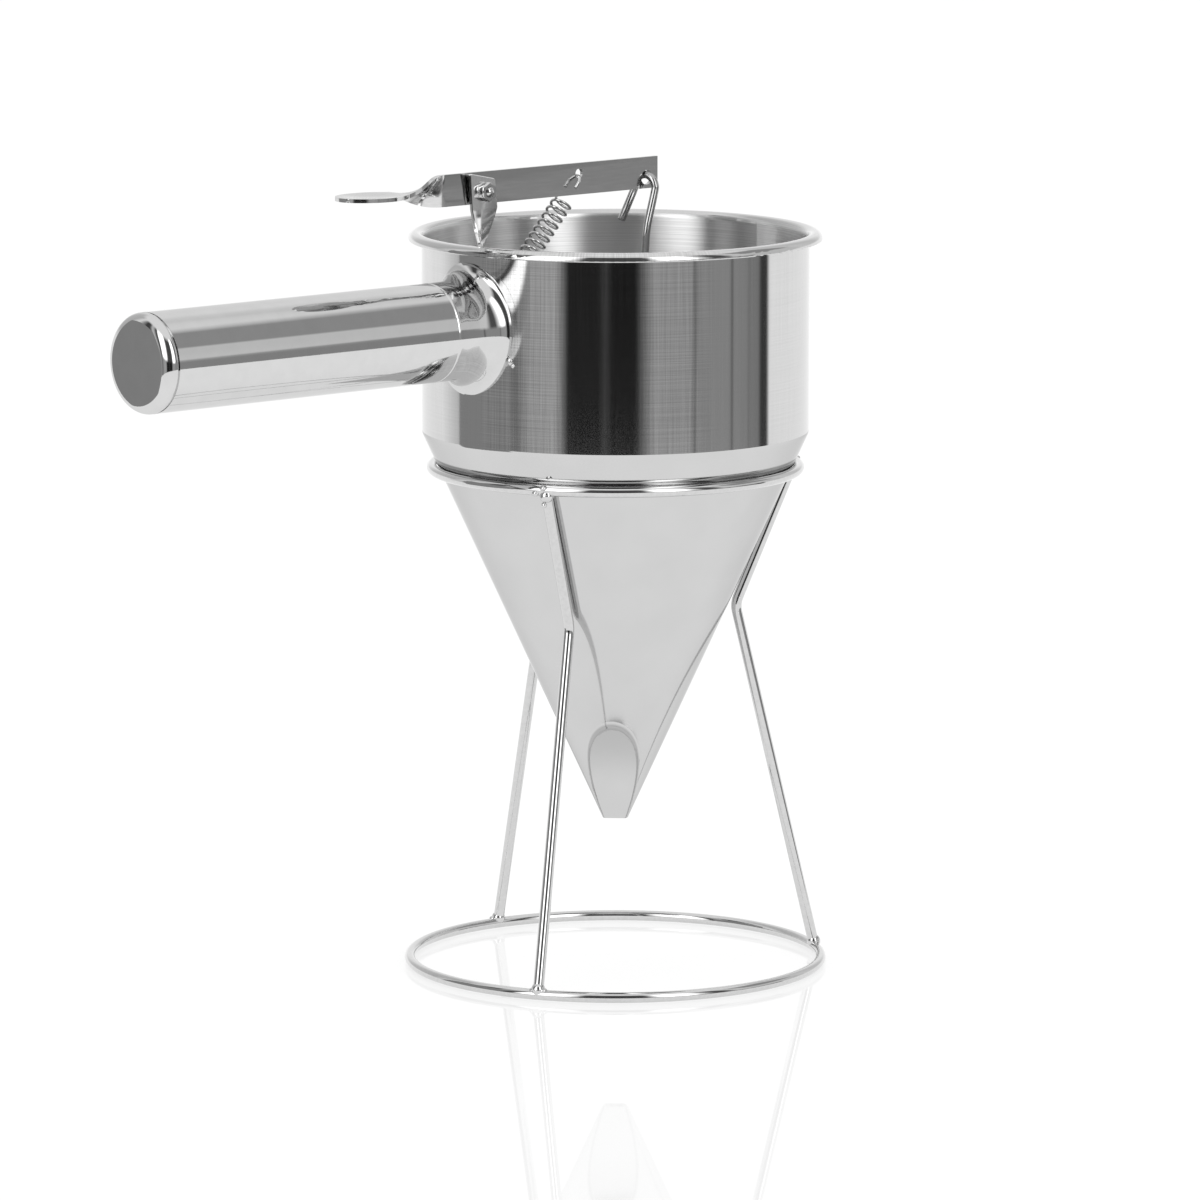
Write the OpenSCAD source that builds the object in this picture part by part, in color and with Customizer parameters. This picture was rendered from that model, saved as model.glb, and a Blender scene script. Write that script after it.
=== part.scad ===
// Pancake batter dispenser: a steel funnel with a lever valve and a tube handle, held in a wire stand.
// The origin is the middle of the stand on the table. +Z is up, and the handle points along -X.

/* [Stand] */
// Diameter of the stand's wire
stand_wire_d = 3.4; // [2.6:0.1:4.4]
// Outer diameter of the base ring
base_ring_d = 135; // [128:0.5:150]
// Outer diameter of the top ring
top_ring_d = 120; // [116:0.5:121]
// Height of the stand over its top ring
stand_h = 161.9; // [155:0.1:185]
// Gap between the waist of a leg and the cone
waist_gap = 2.4; // [1:0.1:8]
// Depth of the waist of a leg below the top of the stand
waist_drop = 47.4; // [44:0.1:60]
// Bend radius of a leg at its waist
leg_bend_r = 8; // [5:0.5:20]
// Direction of the front leg
leg_front_angle = 207; // [195:1:220]
// Direction of the right leg
leg_right_angle = 332; // [320:1:345]
// Direction of the rear leg
leg_rear_angle = 84; // [70:1:100]
// Diameter of the weld bead at each end of a leg
leg_bead_d = 4.4; // [3.6:0.1:4.8]

/* [Funnel] */
// Outer diameter of the bowl
bowl_d = 122.8; // [121.6:0.2:126]
// Height of the bowl from its edge with the cone to the top of the rim
bowl_h = 63.9; // [60:0.1:80]
// Thickness of the funnel's sheet
sheet_t = 0.8; // [0.6:0.05:1.2]
// Outer radius of the rolled rim
rim_roll_r = 2.45; // [2:0.05:3.5]
// Angle between the cone's wall and the axis
cone_angle = 24.7; // [24:0.1:26]
// Outer radius of the bend between the bowl and the cone
cone_bend_r = 3; // [2:0.1:6]
// Outer diameter of the nozzle before its sides are pressed flat
nozzle_d = 8.1; // [7:0.1:10]
// Gap between the cone and the stand's top ring
seat_gap = 0.25; // [0.1:0.05:0.5]

/* [Nozzle dents] */
// Direction of the front dent, and the other is opposite
dent_angle = 225; // [200:1:250]
// Width of the nozzle's tip across the dents
nozzle_w = 4.88; // [4:0.02:6]
// Height of a dent above the tip
dent_h = 31.2; // [24:0.2:36]
// Radius of the tool that presses a dent
dent_tool_r = 102.8; // [80:0.2:130]

/* [Handle] */
// Outer diameter of the handle's tube
handle_d = 31; // [26:0.5:34]
// Distance from the funnel's axis to the end of the handle
handle_reach = 193.6; // [160:0.2:220]
// Depth of the handle's axis below the rim
handle_drop = 26.4; // [24:0.1:34]
// Wall of the tube, the collar and the end cap
handle_wall = 0.8; // [0.6:0.05:1.2]
// Length of the collar, from the bowl to the tube
collar_len = 16.6; // [10:0.1:25]
// Height of the collar's oval edge on the bowl
collar_edge_h = 41.4; // [36:0.2:46]
// Width of the collar's oval edge on the bowl
collar_edge_w = 35.8; // [34.6:0.2:40]
// Rise of the end cap over the tube's end
cap_rise = 5.6; // [5:0.1:9]
// Radius of the end cap's shoulder
cap_edge_r = 4.6; // [3:0.1:4.8]
// Length of the end cap's skirt inside the tube
cap_skirt = 6; // [3:0.5:12]

/* [Lever] */
// Width of the lever's strip
lever_w = 10; // [9:0.1:12]
// Thickness of the lever's strip
lever_t = 1.2; // [1:0.05:1.6]
// Height of the lever's centre line above the rim
lever_rise = 17.5; // [16:0.1:22]
// Distance from the axis to the lever's free end
lever_nose_x = 17.3; // [16.4:0.1:24]
// Radius of the corners at the lever's free end
lever_nose_r = 1.5; // [0.5:0.1:3]
// Distance from the pivot screw to the lever's twist
lever_tail = 14.4; // [10:0.1:24]
// Length of the lever's twist
lever_twist_len = 18; // [12:0.1:24]
// Distance from the lever's twist to the middle of the thumb pad
pad_reach = 11.5; // [11:0.1:26]
// Length of the thumb pad
pad_l = 24; // [21.6:0.1:30]
// Width of the thumb pad
pad_w = 19; // [15:0.1:20]
// Radius of the thumb pad's two ends
pad_end_r = 7.5; // [6:0.1:8.5]

/* [Pivot] */
// Distance from the outside of the bowl in to the pivot screw
pivot_inset = 4.8; // [3:0.1:8]
// Depth of the pivot screw below the lever's centre line
pivot_drop = 1; // [0:0.1:1.5]
// Diameter of the pivot screw
screw_d = 3; // [2.5:0.1:3.4]
// Radial clearance of the lever on the screw
screw_gap = 0.05; // [0.02:0.01:0.1]
// Diameter of the screw's head
screw_head_d = 5.6; // [5:0.1:6.5]
// Height of the screw's head
screw_head_h = 2; // [1.4:0.1:2.6]
// Width of the nut across its flats
nut_af = 5.5; // [5:0.1:7]
// Height of the nut
nut_h = 2.4; // [1.8:0.1:3]
// Length of the screw's end beyond the nut
screw_end = 1; // [0.6:0.1:2]
// Outer diameter of the washer
washer_d = 7; // [6:0.1:9]
// Thickness of the washer
washer_t = 0.8; // [0.4:0.05:1.2]
// Side clearance of the lever between the washer and the screw's head
lever_side_gap = 0.1; // [0.05:0.01:0.3]

/* [Bracket] */
// Width of the bracket's strip
bracket_w = 10.5; // [9:0.1:12]
// Thickness of the bracket's strip
bracket_t = 1.25; // [1:0.05:1.6]
// Fall of the ear's slanted top, from the handle's side to the other
ear_slant = 2.2; // [0:0.1:3]
// Lean of the ear's sides
ear_lean = 0.8; // [0:0.1:1.5]
// Corner radius of the ear
ear_corner_r = 0.8; // [0.4:0.1:2]
// Height of the ear's flat part below its top
ear_h = 11.2; // [9:0.1:13]
// Length of the bracket's twist
bracket_twist_len = 24; // [18:0.5:26]
// Sideways lean of the strip along its twist, towards the lever
bracket_side_lean = 2.7; // [0:0.1:3]
// Lean of the strip along its twist, away from the wall
bracket_wall_lean = 0.5; // [0.3:0.1:1.5]
// Depth of the place where the bracket meets the wall, below the rim
bracket_wall_top = 15.5; // [14:0.5:17]
// Depth of the spring tab below the middle of the lower hook's bend
tab_drop = 0.8; // [0.2:0.1:1.4]
// Length of the spring tab beyond the middle of that bend
tab_lip = 0.6; // [0:0.1:1]
// Depth of the welds into the pieces that they join
weld_sink = 0.1; // [0.05:0.05:0.3]

/* [Spring] */
// Diameter of the spring's wire
spring_wire_d = 0.9; // [0.7:0.05:1.1]
// Outer diameter of the spring
spring_d = 7; // [6:0.1:8]
// Pitch of the spring's turns
spring_pitch = 2.62; // [2:0.01:2.8]
// Number of whole turns of the spring, and a quarter turn follows them
spring_turns = 14; // [9:1:15]
// Angle between the spring and the vertical
spring_angle = 42.1; // [40:0.1:44]
// Distance from the pivot screw to the lever's hole for the spring
spring_arm = 40.8; // [38:0.1:44]
// Height of that hole above the lever's centre line
spring_hole_rise = 1.7; // [1:0.1:2.2]
// Diameter of the holes that hold the spring
spring_hole_d = 3; // [2.4:0.1:3.4]
// Bend radius where the last turn becomes a hook
hook_bend_r = 1; // [0.8:0.05:1.5]
// Length of the upper hook, from the last turn to the middle of its bend
hook_reach = 6.4; // [6:0.1:12]
// Length of the lower hook, from the first turn to the middle of its bend
lower_hook_reach = 5; // [3.6:0.1:7]
// Length of the hooks' free ends
hook_tail = 1.7; // [1.4:0.1:4]
// Gap between a hook and the edge of its hole
hook_gap = 0.25; // [0.2:0.05:0.5]

/* [Valve] */
// Diameter of the valve rod
rod_d = 2.5; // [2:0.1:3]
// Distance from the axis to the rod's hole in the lever
rod_hole_x = 12.6; // [9:0.1:13.4]
// Depth of that hole below the lever's centre line
rod_hole_drop = 1.5; // [0:0.1:1.8]
// Diameter of the rod's hole in the lever
rod_hole_d = 4.6; // [4:0.1:5.2]
// Gap between the rod's crown and the edge of that hole
rod_gap = 0.2; // [0.15:0.05:0.4]
// Radius of the hook that hangs the rod on the lever
rod_hook_r = 4.19; // [3.8:0.01:5]
// Turn of that hook about the vertical
rod_hook_angle = 8; // [0:0.1:20]
// Distance from the axis to the kink between the rod and its hook
rod_kink_x = 9.4; // [4:0.1:12]
// Height of the hook's crown above that kink
rod_kink_drop = 16.8; // [12:0.1:30]
// Reach of the hook's free leg towards the handle
rod_tail_x = 5.8; // [2:0.1:7]
// Depth of the free leg's end below the hook's middle
rod_tail_drop = 10.1; // [6:0.1:16]
// Diameter of the valve plug
plug_d = 7.6; // [5:0.1:7.8]
// Diameter of the valve plug at its lower end
plug_tip_d = 3; // [2:0.1:3.4]
// Height of the plug's lower end above the nozzle's tip
plug_rise = 1; // [0.5:0.1:2]
// Height of the plug's tapered part
plug_taper_h = 6; // [5.6:0.1:9]
// Height of the plug's straight part
plug_band_h = 2; // [1:0.1:4]
// Rise of the plug's domed top
plug_dome_h = 2; // [1:0.1:3.6]

/* [Hidden] */
$fn = 96;

// Depth by which every cut runs past what it cuts
overrun = 1;
// Height by which a ball that joins two wires stands proud of them
joint_proud = 0.01;
steel = "silver";
bright_steel = "gainsboro";

// Stand
stand_wire_r = stand_wire_d / 2;
base_ring_r = base_ring_d / 2 - stand_wire_r;
top_ring_r = top_ring_d / 2 - stand_wire_r;
top_ring_z = stand_h - stand_wire_r;
cone_slope = tan(cone_angle);
ring_seat_r = top_ring_r - (stand_wire_r + seat_gap) / cos(cone_angle);
// A leg is drawn in its own plane, as a distance from the axis and a height
// Share of the wire's radius by which a leg's end melts into a ring
melt_share = 0.35;
leg_foot = [base_ring_r, stand_wire_d - melt_share * stand_wire_r, 0];
leg_waist_h = stand_h - waist_drop;
leg_waist_r = ring_seat_r - (top_ring_z - leg_waist_h) * cone_slope + waist_gap
    + stand_wire_r / cos(cone_angle);
leg_waist = [leg_waist_r, leg_waist_h, 0];
leg_head = [top_ring_r, top_ring_z - stand_wire_r + melt_share * stand_wire_r, 0];

// Funnel, as radii and heights
bowl_r = bowl_d / 2;
bowl_in_r = bowl_r - sheet_t;
nozzle_r = nozzle_d / 2;
edge_z = top_ring_z + (bowl_r - ring_seat_r) / cone_slope;
seam_z = edge_z + cone_bend_r * tan(cone_angle / 2);
tip_z = edge_z - (bowl_r - nozzle_r) / cone_slope;
rim_z = edge_z + bowl_h;
// The pressing tool's circle passes through the tip's edge and the dent's top, from the axis and the tip
dent_foot = [nozzle_w / 2, 0];
dent_top = [nozzle_r + dent_h * cone_slope, dent_h];
dent_chord = dent_top - dent_foot;
dent_apart = sqrt(dent_tool_r * dent_tool_r / (dent_chord * dent_chord) - 1 / 4);
dent_tool = (dent_foot + dent_top) / 2 + dent_apart * [dent_chord[1], -dent_chord[0]];
roll_x = bowl_in_r + rim_roll_r;
roll_z = rim_z - rim_roll_r;

// Handle
handle_r = handle_d / 2;
handle_z = rim_z - handle_drop;
collar_x = bowl_r + collar_len;
cap_x = handle_reach - cap_rise;
// The cap's face is part of a sphere that runs into the shoulder
cap_inner = handle_r - cap_edge_r;
cap_sphere_r = (cap_inner * cap_inner + cap_rise * cap_rise - cap_edge_r * cap_edge_r)
    / (2 * (cap_rise - cap_edge_r));
cap_touch = cap_inner * cap_sphere_r / (cap_sphere_r - cap_edge_r);
// Angle at which the collar's flare meets the bowl
flare_angle = 65;
collar_sides = 48;
collar_rings = 9;

// Lever and pivot
pivot_x = bowl_r - pivot_inset;
lever_twist_x = pivot_x + lever_tail;
lever_z = rim_z + lever_rise;
pivot_z = lever_z - pivot_drop;
washer_y = -(lever_t / 2 + lever_side_gap);
ear_y = washer_y - washer_t;
bracket_y = ear_y - bracket_t / 2;
nut_y = ear_y - bracket_t;
twist_slices = 20;
twist_sides = 8;
strip_end_x = lever_twist_x + lever_twist_len;
pad_x = strip_end_x + pad_reach;
// Length by which a straight stretch runs into the twist beside it
twist_lap = 0.1;
// The same length where the twist leans
leaning_lap = 0.7;

// Bracket
ear_top_z = lever_z + lever_w / 2;
ear_base_z = ear_top_z - ear_h;
twist_foot_z = ear_base_z - bracket_twist_len;
bracket_x = pivot_x;
foot_x = bracket_x - bracket_wall_lean;
foot_y = bracket_y + bracket_side_lean;
bracket_edge_y = bracket_w / 2 + foot_y;
wall_x = sqrt(bowl_in_r * bowl_in_r - bracket_edge_y * bracket_edge_y) - bracket_t / 2 + weld_sink;

// Spring: its line runs from the lever's hole down to the tab
spring_r = spring_d / 2 - spring_wire_d / 2;
spring_dir = [sin(spring_angle), 0, cos(spring_angle)];
spring_side = [-cos(spring_angle), 0, sin(spring_angle)];
hook_inset = spring_hole_d / 2 - spring_wire_d / 2 - hook_gap;
spring_hole_x = pivot_x - spring_arm;
spring_hole = [-spring_hole_x, 0, lever_z + spring_hole_rise];
hook_top = spring_hole - hook_inset * spring_dir;
coil_top = hook_top - hook_bend_r * spring_side - (hook_reach + spring_r) * spring_dir;
coil_len = (spring_turns + 0.25) * spring_pitch;
coil_foot = coil_top - coil_len * spring_dir;
lower_hook = coil_foot - lower_hook_reach * spring_dir;
tab_z = lower_hook[2] - tab_drop;
tab_edge_x = -lower_hook[0] - tab_lip;
// The tab's hole clears the hook on the tab's underside
hook_clear_r = spring_r - spring_wire_d / 2 - hook_gap;
hook_under = tab_drop + bracket_t / 2;
tab_hole_x = lower_hook[0] - sqrt(hook_clear_r * hook_clear_r - hook_under * hook_under) - spring_hole_d / 2;
rings_per_turn = 8;
hook_rings = 6;
bend_rings = 3;
wire_sides = 6;

// Valve
rod_r = rod_d / 2;
crown = [rod_hole_x, 0, lever_z - rod_hole_drop + rod_hole_d / 2 - rod_r - rod_gap];
hook_mid = crown - [0, 0, rod_hook_r];
hook_out = rod_hook_r * [sin(rod_hook_angle), -cos(rod_hook_angle), 0];
rod_kink = [rod_kink_x, hook_out[1], crown[2] - rod_kink_drop];
rod_tail = hook_mid - hook_out - [rod_tail_x, 0, rod_tail_drop];
plug_z = tip_z + plug_rise;
plug_top_z = plug_z + plug_taper_h + plug_band_h + plug_dome_h;
plug_r = plug_d / 2;
plug_sphere_r = (plug_r * plug_r + plug_dome_h * plug_dome_h) / (2 * plug_dome_h);

function unit(v) = v / norm(v);

// Straight wire from one point to another
module bar(from, to, d) {
    way = to - from;
    translate(from)
        rotate([0, atan2(norm([way[0], way[1]]), way[2]), atan2(way[1], way[0])])
            cylinder(d = d, h = norm(way));
}

// Ball that joins two pieces of wire, just proud of both
module joint(at, d) {
    translate(at) sphere(d = d + 2 * joint_proud);
}

// Ring of round wire about the axis
module wire_ring(r, z) {
    translate([0, 0, z]) rotate_extrude() translate([r, 0]) circle(r = stand_wire_r);
}

// Leg of the stand: two straight stretches and a bend at the waist, in one upright plane
module leg(angle) {
    low = leg_waist - leg_foot;
    high = leg_head - leg_waist;
    low_angle = atan2(low[0], low[1]);
    high_angle = atan2(high[0], high[1]);
    tangent = leg_bend_r * tan((high_angle - low_angle) / 2);
    bend_start = leg_waist - tangent * [sin(low_angle), cos(low_angle), 0];
    bend_end = leg_waist + tangent * [sin(high_angle), cos(high_angle), 0];
    bend_mid = bend_start + leg_bend_r * [cos(low_angle), -sin(low_angle), 0];
    rotate([0, 0, angle]) rotate([90, 0, 0]) {
        bar(leg_foot, bend_start, stand_wire_d);
        bar(bend_end, leg_head, stand_wire_d);
        translate(bend_mid)
            rotate_extrude(angle = high_angle - low_angle, start = 180 - high_angle)
                translate([leg_bend_r, 0]) circle(r = stand_wire_r);
        joint(bend_start, stand_wire_d);
        joint(bend_end, stand_wire_d);
        translate([leg_foot[0], stand_wire_d]) sphere(d = leg_bead_d);
        translate([leg_head[0], top_ring_z - stand_wire_r]) sphere(d = leg_bead_d);
    }
}

module base_ring() { color(bright_steel) wire_ring(base_ring_r, stand_wire_r); }
module top_ring() { color(bright_steel) wire_ring(top_ring_r, top_ring_z); }
module leg_front() { color(bright_steel) leg(leg_front_angle); }
module leg_right() { color(bright_steel) leg(leg_right_angle); }
module leg_rear() { color(bright_steel) leg(leg_rear_angle); }

// Bowl: a straight wall whose top is rolled outwards over half a circle
module bowl() {
    color(steel) rotate_extrude() {
        translate([bowl_in_r, seam_z]) square([sheet_t, roll_z - seam_z]);
        translate([roll_x, roll_z]) {
            difference() {
                circle(r = rim_roll_r);
                circle(r = rim_roll_r - sheet_t);
                translate([-rim_roll_r - overrun, -rim_roll_r - overrun])
                    square([2 * (rim_roll_r + overrun), rim_roll_r + overrun]);
            }
            translate([rim_roll_r - sheet_t / 2, 0]) circle(d = sheet_t);
        }
    }
}

// Half outline of the cone filled in, drawn in from the outer skin by an inset
module cone_fill(inset, top, bottom) {
    bend = cone_bend_r - inset;
    bend_x = bowl_r - cone_bend_r;
    touch = [bend_x + bend * cos(cone_angle), seam_z - bend * sin(cone_angle)];
    bottom_z = tip_z - bottom;
    polygon([[0, bottom_z], [touch[0] - (touch[1] - bottom_z) * cone_slope, bottom_z], touch,
        [bend_x, seam_z], [0, seam_z]]);
    intersection() {
        translate([bend_x, seam_z]) circle(r = bend);
        translate([bend_x, seam_z - bend]) square([bend, bend]);
    }
    if (top > 0)
        translate([0, seam_z]) square([bend_x + bend, top]);
}

// The two pressing tools at the nozzle, larger by the sheet for the inner skin
module dent_tools(grow) {
    for (turn = [0, 180])
        rotate([0, 0, dent_angle + turn])
            translate([dent_tool[0], 0, tip_z + dent_tool[1]])
                rotate([90, 0, 0])
                    cylinder(r = dent_tool_r + grow, h = bowl_d, center = true);
}

// Cone: a sheet of even thickness, with two opposite dents that press the nozzle into an oval
module cone() {
    color("lightgray") difference() {
        rotate_extrude() cone_fill(0, 0, 0);
        dent_tools(0);
        difference() {
            rotate_extrude() cone_fill(sheet_t, overrun, overrun);
            dent_tools(sheet_t);
        }
    }
}

// Turns a shape that is drawn upwards from the axis so that it lies along the handle
module along_handle() {
    translate([0, 0, handle_z]) rotate([0, -90, 0]) children();
}

module handle_tube() {
    color(steel) along_handle() translate([0, 0, collar_x]) difference() {
        cylinder(r = handle_r, h = cap_x - collar_x);
        translate([0, 0, -overrun]) cylinder(r = handle_r - handle_wall, h = cap_x - collar_x + 2 * overrun);
    }
}

// A point of the collar: share runs from 0 at the tube to 1 on the bowl
function collar_point(around, share, inset) =
    let (
        flare = share * flare_angle,
        growth = (1 - cos(flare)) / (1 - cos(flare_angle)),
        half_w = handle_r + (collar_edge_w / 2 - handle_r) * growth - inset,
        half_h = handle_r + (collar_edge_h / 2 - handle_r) * growth - inset,
        edge_y = (collar_edge_w / 2 - inset) * cos(around),
        edge_x = sqrt(bowl_r * bowl_r - edge_y * edge_y)
    )
    [-(collar_x - (collar_x - edge_x) * sin(flare) / sin(flare_angle)), half_w * cos(around),
        handle_z + half_h * sin(around)];

// Faces of a tube of rings that closes on itself
function closed_faces(rings, sides) = [
    for (i = [0:rings - 1], j = [0:sides - 1])
        let (a = i * sides + j, b = i * sides + (j + 1) % sides, c = (i + 1) % rings * sides + j,
            d = (i + 1) % rings * sides + (j + 1) % sides)
        each [[a, b, d], [a, d, c]]
];

// Collar: a trumpet whose oval edge lies on the round wall of the bowl
module handle_collar() {
    outside = [for (i = [0:collar_rings], j = [0:collar_sides - 1])
        collar_point(360 * j / collar_sides, i / collar_rings, 0)];
    inside = [for (i = [0:collar_rings], j = [0:collar_sides - 1])
        collar_point(360 * j / collar_sides, 1 - i / collar_rings, handle_wall)];
    color(steel) polyhedron(concat(outside, inside), closed_faces(2 * (collar_rings + 1), collar_sides));
}

// Half outline of the end cap filled in, drawn in from the outer skin by an inset
module cap_fill(inset) {
    face_r = cap_sphere_r - inset;
    touch = cap_touch * face_r / cap_sphere_r;
    intersection() {
        translate([0, handle_reach - cap_sphere_r]) circle(r = face_r, $fn = 3 * $fn);
        translate([0, cap_x]) square([touch, cap_rise]);
    }
    intersection() {
        translate([cap_inner, cap_x]) circle(r = cap_edge_r - inset);
        translate([cap_inner, cap_x]) square([cap_edge_r, cap_rise]);
    }
    translate([0, cap_x]) square([cap_inner, (cap_edge_r - inset) / 2]);
}

// End cap: a disc with a round shoulder, and a skirt that is pressed into the tube
module handle_end_cap() {
    skirt_r = handle_r - handle_wall;
    skirt_in_r = skirt_r - handle_wall;
    color(steel) along_handle() rotate_extrude() difference() {
        union() {
            cap_fill(0);
            translate([0, cap_x - cap_skirt]) square([skirt_r, cap_skirt]);
        }
        intersection() {
            cap_fill(handle_wall);
            translate([0, cap_x]) square([skirt_in_r, cap_rise]);
        }
        translate([0, cap_x - cap_skirt - overrun]) square([skirt_in_r, cap_skirt + 2 * overrun]);
    }
}

// Strip of metal along a bent line in an upright plane, with round corners
module bent_strip(points, t, w) {
    rotate([90, 0, 0]) linear_extrude(w, center = true) {
        for (i = [0:len(points) - 2])
            let (way = points[i + 1] - points[i])
                translate(points[i]) rotate([0, 0, atan2(way[1], way[0])])
                    translate([0, -t / 2]) square([norm(way), t]);
        for (i = [1:len(points) - 2])
            translate(points[i]) circle(d = t);
    }
}

// Bracket: an ear for the pivot, a quarter twist, and a strip down the wall that ends in the spring's tab
module lever_bracket() {
    half = bracket_w / 2;
    color(steel) difference() {
        union() {
            translate([-bracket_x, ear_y, 0]) rotate([90, 0, 0]) linear_extrude(bracket_t)
                offset(r = ear_corner_r) offset(delta = -ear_corner_r)
                    polygon([[-half, ear_base_z - ear_corner_r], [half, ear_base_z - ear_corner_r],
                        [half - ear_lean, ear_top_z - ear_slant], [-half - ear_lean, ear_top_z]]);
            translate([-foot_x, foot_y, twist_foot_z])
                rotate([atan(bracket_side_lean / bracket_twist_len),
                    -atan(bracket_wall_lean / bracket_twist_len), 0])
                    linear_extrude(bracket_twist_len, twist = 90, slices = twist_slices,
                        segments = twist_sides)
                            square([bracket_t, bracket_w], center = true);
            translate([0, foot_y, 0])
                bent_strip([[-foot_x, twist_foot_z + leaning_lap], [-foot_x, twist_foot_z - bracket_t],
                    [-wall_x, rim_z - bracket_wall_top - bracket_t], [-wall_x, tab_z], [-tab_edge_x, tab_z]],
                    bracket_t, bracket_w);
        }
        translate([-pivot_x, 0, pivot_z]) rotate([90, 0, 0])
            cylinder(r = screw_d / 2 + screw_gap, h = bowl_r);
        translate([tab_hole_x, -hook_bend_r, tab_z - bracket_t])
            cylinder(d = spring_hole_d, h = 2 * bracket_t);
    }
}

// Pivot screw: its head is behind the lever and its rounded end comes out of the nut
module pivot_screw() {
    head_y = lever_t / 2 + lever_side_gap;
    shank_end_y = nut_y - nut_h - screw_end + screw_d / 4;
    color("darkgray") translate([-pivot_x, 0, pivot_z]) rotate([90, 0, 0]) {
        translate([0, 0, -head_y]) cylinder(d = screw_d, h = head_y - shank_end_y);
        translate([0, 0, -head_y - screw_head_h]) cylinder(d = screw_head_d, h = screw_head_h);
        intersection() {
            translate([0, 0, -shank_end_y + screw_d / 4 - 5 * screw_d / 8]) sphere(r = 5 * screw_d / 8);
            translate([0, 0, -shank_end_y]) cylinder(d = screw_d, h = screw_d / 4);
        }
    }
}

module pivot_washer() {
    color("darkgray") translate([-pivot_x, ear_y, pivot_z]) rotate([-90, 0, 0]) difference() {
        cylinder(d = washer_d, h = washer_t);
        translate([0, 0, -overrun]) cylinder(r = screw_d / 2 + screw_gap, h = washer_t + 2 * overrun);
    }
}

module pivot_nut() {
    color("darkgray") translate([-pivot_x, nut_y, pivot_z]) rotate([90, 0, 0]) difference() {
        cylinder(d = nut_af / cos(30), h = nut_h, $fn = 6);
        translate([0, 0, -overrun]) cylinder(d = screw_d, h = nut_h + 2 * overrun);
    }
}

// Outline of the thumb pad: two end arcs and two side arcs that run into each other
module pad_outline() {
    end_x = pad_l / 2 - pad_end_r;
    half_w = pad_w / 2;
    side_r = (end_x * end_x + half_w * half_w - pad_end_r * pad_end_r) / (2 * (half_w - pad_end_r));
    touch_x = end_x * side_r / (side_r - pad_end_r);
    for (side = [-1, 1])
        translate([side * end_x, 0]) circle(r = pad_end_r);
    intersection() {
        translate([0, side_r - half_w]) circle(r = side_r);
        translate([0, half_w - side_r]) circle(r = side_r);
        square([2 * touch_x, pad_w], center = true);
    }
}

// Lever: an upright strip with three holes, a quarter twist, and a flat thumb pad
module lever() {
    straight = lever_twist_x + twist_lap + lever_nose_x;
    color(steel) translate([0, 0, lever_z]) difference() {
        union() {
            rotate([90, 0, 0]) linear_extrude(lever_t, center = true) {
                translate([-lever_twist_x - twist_lap, -lever_w / 2])
                    square([straight - lever_nose_r, lever_w]);
                translate([-lever_twist_x - twist_lap, -lever_w / 2 + lever_nose_r])
                    square([straight, lever_w - 2 * lever_nose_r]);
                for (side = [-1, 1])
                    translate([lever_nose_x - lever_nose_r, side * (lever_w / 2 - lever_nose_r)])
                        circle(r = lever_nose_r);
            }
            translate([-strip_end_x, 0, 0]) rotate([0, 90, 0])
                linear_extrude(lever_twist_len, twist = 90, slices = twist_slices, segments = twist_sides)
                    square([lever_t, lever_w], center = true);
            translate([0, 0, -lever_t / 2]) linear_extrude(lever_t) {
                translate([-pad_x, 0]) pad_outline();
                translate([-pad_x, -lever_w / 2]) square([pad_x - strip_end_x + twist_lap, lever_w]);
            }
        }
        rotate([90, 0, 0]) {
            translate([-pivot_x, -pivot_drop])
                cylinder(r = screw_d / 2 + screw_gap, h = lever_w, center = true);
            translate([-spring_hole_x, spring_hole_rise])
                cylinder(d = spring_hole_d, h = lever_w, center = true);
            translate([rod_hole_x, -rod_hole_drop]) cylinder(d = rod_hole_d, h = lever_w, center = true);
        }
    }
}

// A point beside the spring's line: along it, in the lever's direction, and across it
function beside(base, along, over, across) =
    base + along * spring_dir + over * spring_side + across * [0, 1, 0];

// Lower hook, from its free end through the tab's hole and up to the first turn, in the upright plane
lower_hook_points = [
    beside(lower_hook, hook_tail - hook_bend_r, spring_r, -hook_bend_r),
    for (i = [0:hook_rings])
        let (a = 180 * i / hook_rings)
        beside(lower_hook, -spring_r * sin(a), spring_r * cos(a), -hook_bend_r),
    for (i = [0:bend_rings - 1])
        let (a = 90 * i / bend_rings)
        beside(coil_foot, -hook_bend_r * (1 - sin(a)), -spring_r, -hook_bend_r * cos(a))
];

// Turns of the spring
coil_points = [
    for (i = [0:(spring_turns + 0.25) * rings_per_turn])
        let (a = 180 + 360 * i / rings_per_turn)
        beside(coil_foot, spring_pitch * i / rings_per_turn, spring_r * cos(a), -spring_r * sin(a))
];

// Upper hook, from the last turn behind the lever, through its hole and down in front of it
upper_hook_points = [
    for (i = [1:bend_rings])
        let (a = 90 * i / bend_rings)
        beside(coil_top, hook_bend_r * (1 - cos(a)), hook_bend_r * sin(a), spring_r),
    for (i = [0:hook_rings])
        let (a = 180 * i / hook_rings)
        beside(coil_top, hook_reach + spring_r * sin(a), hook_bend_r, spring_r * cos(a)),
    beside(coil_top, hook_reach - hook_tail, hook_bend_r, -spring_r)
];
spring_points = concat(lower_hook_points, coil_points, upper_hook_points);

// Direction of a line of points at each of them
function directions(points) = [
    for (i = [0:len(points) - 1])
        unit(points[min(i + 1, len(points) - 1)] - points[max(i - 1, 0)])
];

// A vector square to the line at each point, carried along without turning about it
function carried(ways, first) = [
    for (i = 0, v = unit(first - (first * ways[0]) * ways[0]); i < len(ways);
        i = i + 1, v = i < len(ways) ? unit(v - (v * ways[i]) * ways[i]) : v) v
];

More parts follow.
